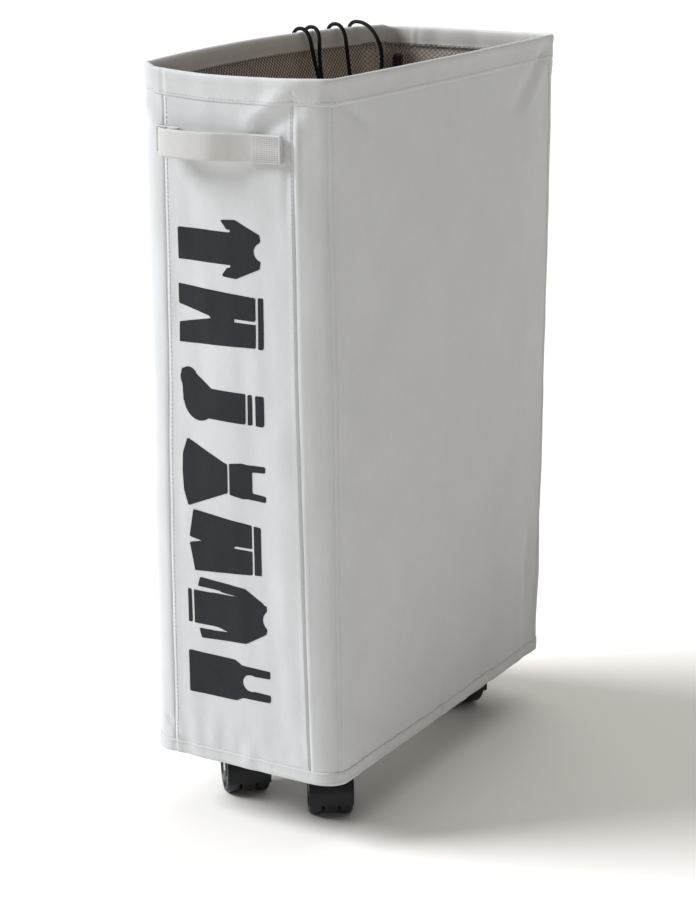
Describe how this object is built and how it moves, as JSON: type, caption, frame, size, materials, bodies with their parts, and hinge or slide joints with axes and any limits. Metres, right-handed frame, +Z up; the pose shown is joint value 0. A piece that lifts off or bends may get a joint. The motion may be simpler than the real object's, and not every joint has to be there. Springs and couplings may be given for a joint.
{
  "type": "rolling laundry hamper",
  "caption": "Slim tall soft-sided laundry hamper with corner rods, a net drawstring collar, strap handles and twin-wheel swivel casters under the base.",
  "frame": {"origin": "on the floor, under the middle of the hamper", "axes": "+Z up; the narrow front with the printed panel faces -Y; +X is the hamper's right-hand long side seen from the front"},
  "size_m": [0.19, 0.3908, 0.551],
  "materials": {
    "body_fabric": "light grey coated plain-weave cloth, dull sheen",
    "webbing": "light grey webbing",
    "print": "dark grey screen print",
    "stitching": "light grey sewing thread",
    "net": "dark brown-black knitted net",
    "cord": "black round braided cord",
    "board": "grey hollow plastic board",
    "rod_steel": "plain steel",
    "black_plastic": "moulded black nylon, fine satin texture",
    "wheel_plastic": "black nylon wheel, satin"
  },
  "bodies": {
    "basket": {"front_panel": "body_fabric", "back_panel": "body_fabric", "left_panel": "body_fabric", "right_panel": "body_fabric", "corner_sleeve_fl": "body_fabric", "corner_sleeve_fr": "body_fabric", "corner_sleeve_bl": "body_fabric", "corner_sleeve_br": "body_fabric", "top_hem": "body_fabric", "bottom_hem": "body_fabric", "base_fabric": "body_fabric", "base_board": "board", "corner_rod_fl": "rod_steel", "corner_rod_fr": "rod_steel", "corner_rod_bl": "rod_steel", "corner_rod_br": "rod_steel", "rod_caps": "black_plastic", "rod_feet": "black_plastic", "mesh_collar": "net", "collar_channel": "net", "drawstring": "cord", "drawstring_loop": "cord", "cord_lock_body": "black_plastic", "cord_lock_spring": "rod_steel", "front_handle_tabs": "webbing", "back_handle_tabs": "webbing", "caster_socket_fl": "black_plastic", "caster_socket_fr": "black_plastic", "caster_socket_bl": "black_plastic", "caster_socket_br": "black_plastic", "socket_rivets": "rod_steel"},
    "front_handle": {"front_handle_strap": "webbing"},
    "back_handle": {"back_handle_strap": "webbing"},
    "lock_button": {"cord_lock_plunger": "black_plastic"},
    "caster_fl": {"caster_fl_stem": "rod_steel", "caster_fl_hood": "black_plastic", "caster_fl_axle": "rod_steel"},
    "wheel_fl_left": {"caster_fl_wheel_left": "wheel_plastic"},
    "wheel_fl_right": {"caster_fl_wheel_right": "wheel_plastic"},
    "caster_fr": {"caster_fr_stem": "rod_steel", "caster_fr_hood": "black_plastic", "caster_fr_axle": "rod_steel"},
    "wheel_fr_left": {"caster_fr_wheel_left": "wheel_plastic"},
    "wheel_fr_right": {"caster_fr_wheel_right": "wheel_plastic"},
    "caster_bl": {"caster_bl_stem": "rod_steel", "caster_bl_hood": "black_plastic", "caster_bl_axle": "rod_steel"},
    "wheel_bl_left": {"caster_bl_wheel_left": "wheel_plastic"},
    "wheel_bl_right": {"caster_bl_wheel_right": "wheel_plastic"},
    "caster_br": {"caster_br_stem": "rod_steel", "caster_br_hood": "black_plastic", "caster_br_axle": "rod_steel"},
    "wheel_br_left": {"caster_br_wheel_left": "wheel_plastic"},
    "wheel_br_right": {"caster_br_wheel_right": "wheel_plastic"}
  },
  "joints": [
    {"name": "swivel_fl", "type": "hinge", "parent": "basket", "child": "caster_fl", "pos_m": [-0.041, -0.105, 0], "axis": [0, 0, 1], "continuous": true},
    {"name": "roll_fl_left", "type": "hinge", "parent": "caster_fl", "child": "wheel_fl_left", "pos_m": [-0.03297, -0.11392, 0.0195], "axis": [0.7431, 0.6691, 0], "continuous": true},
    {"name": "roll_fl_right", "type": "hinge", "parent": "caster_fl", "child": "wheel_fl_right", "pos_m": [-0.03297, -0.11392, 0.0195], "axis": [0.7431, 0.6691, 0], "continuous": true},
    {"name": "swivel_fr", "type": "hinge", "parent": "basket", "child": "caster_fr", "pos_m": [0.035, -0.105, 0], "axis": [0, 0, 1], "continuous": true},
    {"name": "roll_fr_left", "type": "hinge", "parent": "caster_fr", "child": "wheel_fr_left", "pos_m": [0.04171, -0.11495, 0.0195], "axis": [0.829, 0.5592, 0], "continuous": true},
    {"name": "roll_fr_right", "type": "hinge", "parent": "caster_fr", "child": "wheel_fr_right", "pos_m": [0.04171, -0.11495, 0.0195], "axis": [0.829, 0.5592, 0], "continuous": true},
    {"name": "swivel_bl", "type": "hinge", "parent": "basket", "child": "caster_bl", "pos_m": [-0.041, 0.113, 0], "axis": [0, 0, 1], "continuous": true},
    {"name": "roll_bl_left", "type": "hinge", "parent": "caster_bl", "child": "wheel_bl_left", "pos_m": [-0.035, 0.10261, 0.0195], "axis": [0.866, 0.5, 0], "continuous": true},
    {"name": "roll_bl_right", "type": "hinge", "parent": "caster_bl", "child": "wheel_bl_right", "pos_m": [-0.035, 0.10261, 0.0195], "axis": [0.866, 0.5, 0], "continuous": true},
    {"name": "swivel_br", "type": "hinge", "parent": "basket", "child": "caster_br", "pos_m": [0.035, 0.113, 0], "axis": [0, 0, 1], "continuous": true},
    {"name": "roll_br_left", "type": "hinge", "parent": "caster_br", "child": "wheel_br_left", "pos_m": [0.02461, 0.119, 0.0195], "axis": [-0.5, -0.866, 0], "continuous": true},
    {"name": "roll_br_right", "type": "hinge", "parent": "caster_br", "child": "wheel_br_right", "pos_m": [0.02461, 0.119, 0.0195], "axis": [-0.5, -0.866, 0], "continuous": true},
    {"name": "front_handle_flop", "type": "hinge", "parent": "basket", "child": "front_handle", "pos_m": [-0.008, -0.1797, 0.498], "axis": [1, 0, 0], "range_deg": [-20, 20], "stiffness_Nm_per_rad": 0.05},
    {"name": "back_handle_flop", "type": "hinge", "parent": "basket", "child": "back_handle", "pos_m": [0.008, 0.1797, 0.498], "axis": [1, 0, 0], "range_deg": [-20, 20], "stiffness_Nm_per_rad": 0.05},
    {"name": "lock_press", "type": "slide", "parent": "basket", "child": "lock_button", "axis": [0, -1, 0], "range_m": [0, 0.004], "stiffness_N_per_m": 1200, "springref_m": -0.002, "deforming": ["cord_lock_spring"]}
  ]
}
